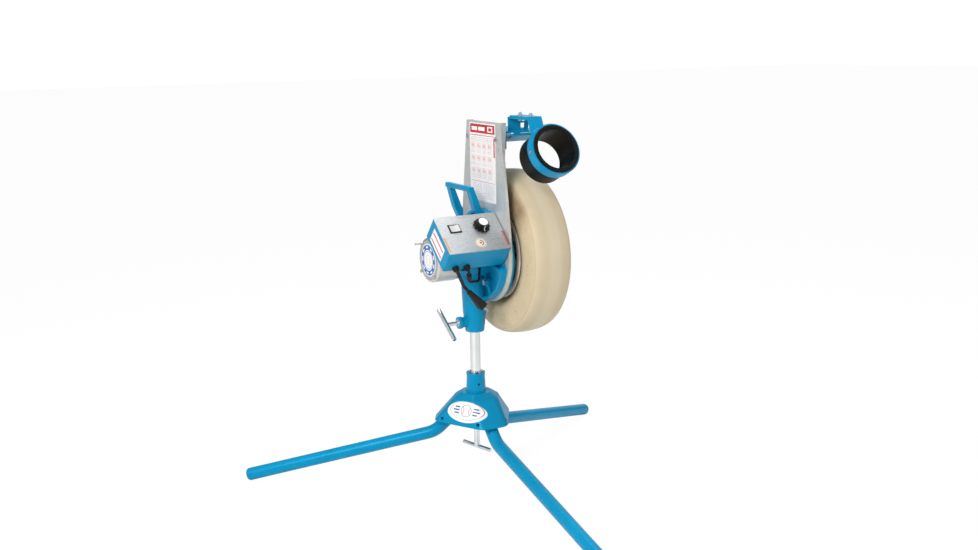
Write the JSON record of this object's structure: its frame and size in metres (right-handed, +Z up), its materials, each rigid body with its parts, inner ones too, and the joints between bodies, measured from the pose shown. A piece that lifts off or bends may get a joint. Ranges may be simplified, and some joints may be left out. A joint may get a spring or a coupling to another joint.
{
  "type": "baseball pitching machine",
  "caption": "Single-wheel ball-throwing machine on a three-legged stand, with speed control box, tilting side plate and feed chute.",
  "frame": {"origin": "on the floor, on the axis of the column", "axes": "+Z up along the column, +Y the way the ball is thrown, +X from the column towards the wheel"},
  "size_m": [1.039, 0.9095, 0.9331],
  "materials": {
    "blue_paint": "satin paint, slightly worn at the edges",
    "blue_plastic": "moulded plugs, satin",
    "chrome": "bright plated",
    "zinc": "zinc plated fasteners",
    "black_oxide": "blackened set screws",
    "plate_aluminium": "brushed, with handling marks",
    "panel_aluminium": "fine brushed lid",
    "motor_steel": "silver motor paint",
    "label": "printed film",
    "black_plastic": "moulded",
    "chute_plastic": "moulded tube, satin",
    "white_plastic": "moulded",
    "cord_rubber": "flexible cord",
    "tyre_tan": "tan rubber with ball scuffs",
    "rim_cream": "cream enamel",
    "bronze": "sintered bronze bush",
    "copper": "commutator copper",
    "lamination": "laminated core",
    "ferrite": "ferrite",
    "carbon": "carbon",
    "circuit_board": "solder mask",
    "shaft_steel": "ground steel"
  },
  "bodies": {
    "stand": {"leg_hub": "blue_paint", "leg_right": "blue_paint", "leg_left": "blue_paint", "leg_front": "blue_paint", "leg_end_caps": "blue_plastic", "hub_set_screws": "black_oxide", "hub_badge": "label", "column": "chrome", "collet_bush": "zinc"},
    "draw_washer": {"draw_screw_washer": "zinc"},
    "draw_screw": {"draw_screw": "chrome"},
    "head": {"main_casting": "blue_paint", "swivel_bush": "bronze", "motor_shell": "motor_steel", "motor_rear_cap": "motor_steel", "motor_magnets": "ferrite", "motor_tie_bolts": "zinc", "motor_label": "label", "shaft_bearings": "shaft_steel", "motor_brushes": "carbon", "brush_caps": "black_plastic", "clamp_disc": "blue_paint", "elevation_bolts": "zinc", "carry_handle": "blue_paint", "handle_screws": "zinc", "box_housing": "blue_paint", "control_panel": "panel_aluminium", "box_screws": "zinc", "potentiometer": "zinc", "switch_frame": "black_plastic", "speed_controller_board": "circuit_board", "box_labels": "label", "cord_grips": "cord_rubber", "power_cord": "cord_rubber", "plug_body": "cord_rubber", "plug_blades": "shaft_steel", "motor_lead": "cord_rubber"},
    "clamp_washer": {"clamp_washer": "zinc"},
    "clamp_handle": {"clamp_t_handle": "chrome"},
    "throwing_frame": {"side_plate": "plate_aluminium", "instruction_label": "label", "top_bracket": "blue_paint", "bracket_bolts": "zinc", "pressure_plate": "blue_paint", "pressure_plate_bolts": "zinc", "chute_arm": "blue_paint", "chute_fasteners": "zinc", "ball_chute": "chute_plastic"},
    "wheel": {"tyre": "tyre_tan", "wheel_rim": "rim_cream", "wheel_hub": "shaft_steel", "wheel_bolts": "zinc", "axle_nut_and_key": "zinc", "valve_stem": "cord_rubber", "drive_shaft": "shaft_steel", "armature": "lamination", "commutator": "copper"},
    "speed_knob": {"speed_knob": "black_plastic", "knob_cap": "white_plastic"},
    "power_rocker": {"rocker_switch": "white_plastic"}
  },
  "joints": [
    {"name": "head_swivel", "type": "hinge", "parent": "stand", "child": "head", "pos_m": [0, 0, 0.45], "axis": [0, 0, 1], "continuous": true},
    {"name": "elevation", "type": "hinge", "parent": "head", "child": "throwing_frame", "pos_m": [0.026, -0.016, 0.587], "axis": [1, 0, 0], "range_deg": [-20, 30]},
    {"name": "wheel_spin", "type": "hinge", "parent": "head", "child": "wheel", "pos_m": [0.103, -0.016, 0.587], "axis": [1, 0, 0], "continuous": true},
    {"name": "speed_dial", "type": "hinge", "parent": "head", "child": "speed_knob", "pos_m": [-0.029, -0.09752, 0.67052], "axis": [0, 0.6534, -0.757], "range_deg": [0, 300]},
    {"name": "power_switch", "type": "hinge", "parent": "head", "child": "power_rocker", "pos_m": [-0.0985, -0.09574, 0.66922], "axis": [0, 0.757, 0.6534], "range_deg": [0, 8]},
    {"name": "clamp_travel", "type": "slide", "parent": "head", "child": "clamp_washer", "axis": [-1, 0, 0], "range_m": [0, 0.0013]},
    {"name": "clamp_turn", "type": "hinge", "parent": "clamp_washer", "child": "clamp_handle", "pos_m": [-0.07, 0, 0.418], "axis": [-1, 0, 0], "range_deg": [0, 270]},
    {"name": "draw_travel", "type": "slide", "parent": "stand", "child": "draw_washer", "axis": [0, 0, -1], "range_m": [0, 0.0021]},
    {"name": "draw_turn", "type": "hinge", "parent": "draw_washer", "child": "draw_screw", "pos_m": [0, 0, 0.12], "axis": [0, 0, -1], "range_deg": [0, 360]}
  ],
  "couplings": [
    {"joint": "clamp_travel", "follows": "clamp_turn", "m_per_rad": 0.00025266},
    {"joint": "draw_travel", "follows": "draw_turn", "m_per_rad": 0.00031096}
  ]
}
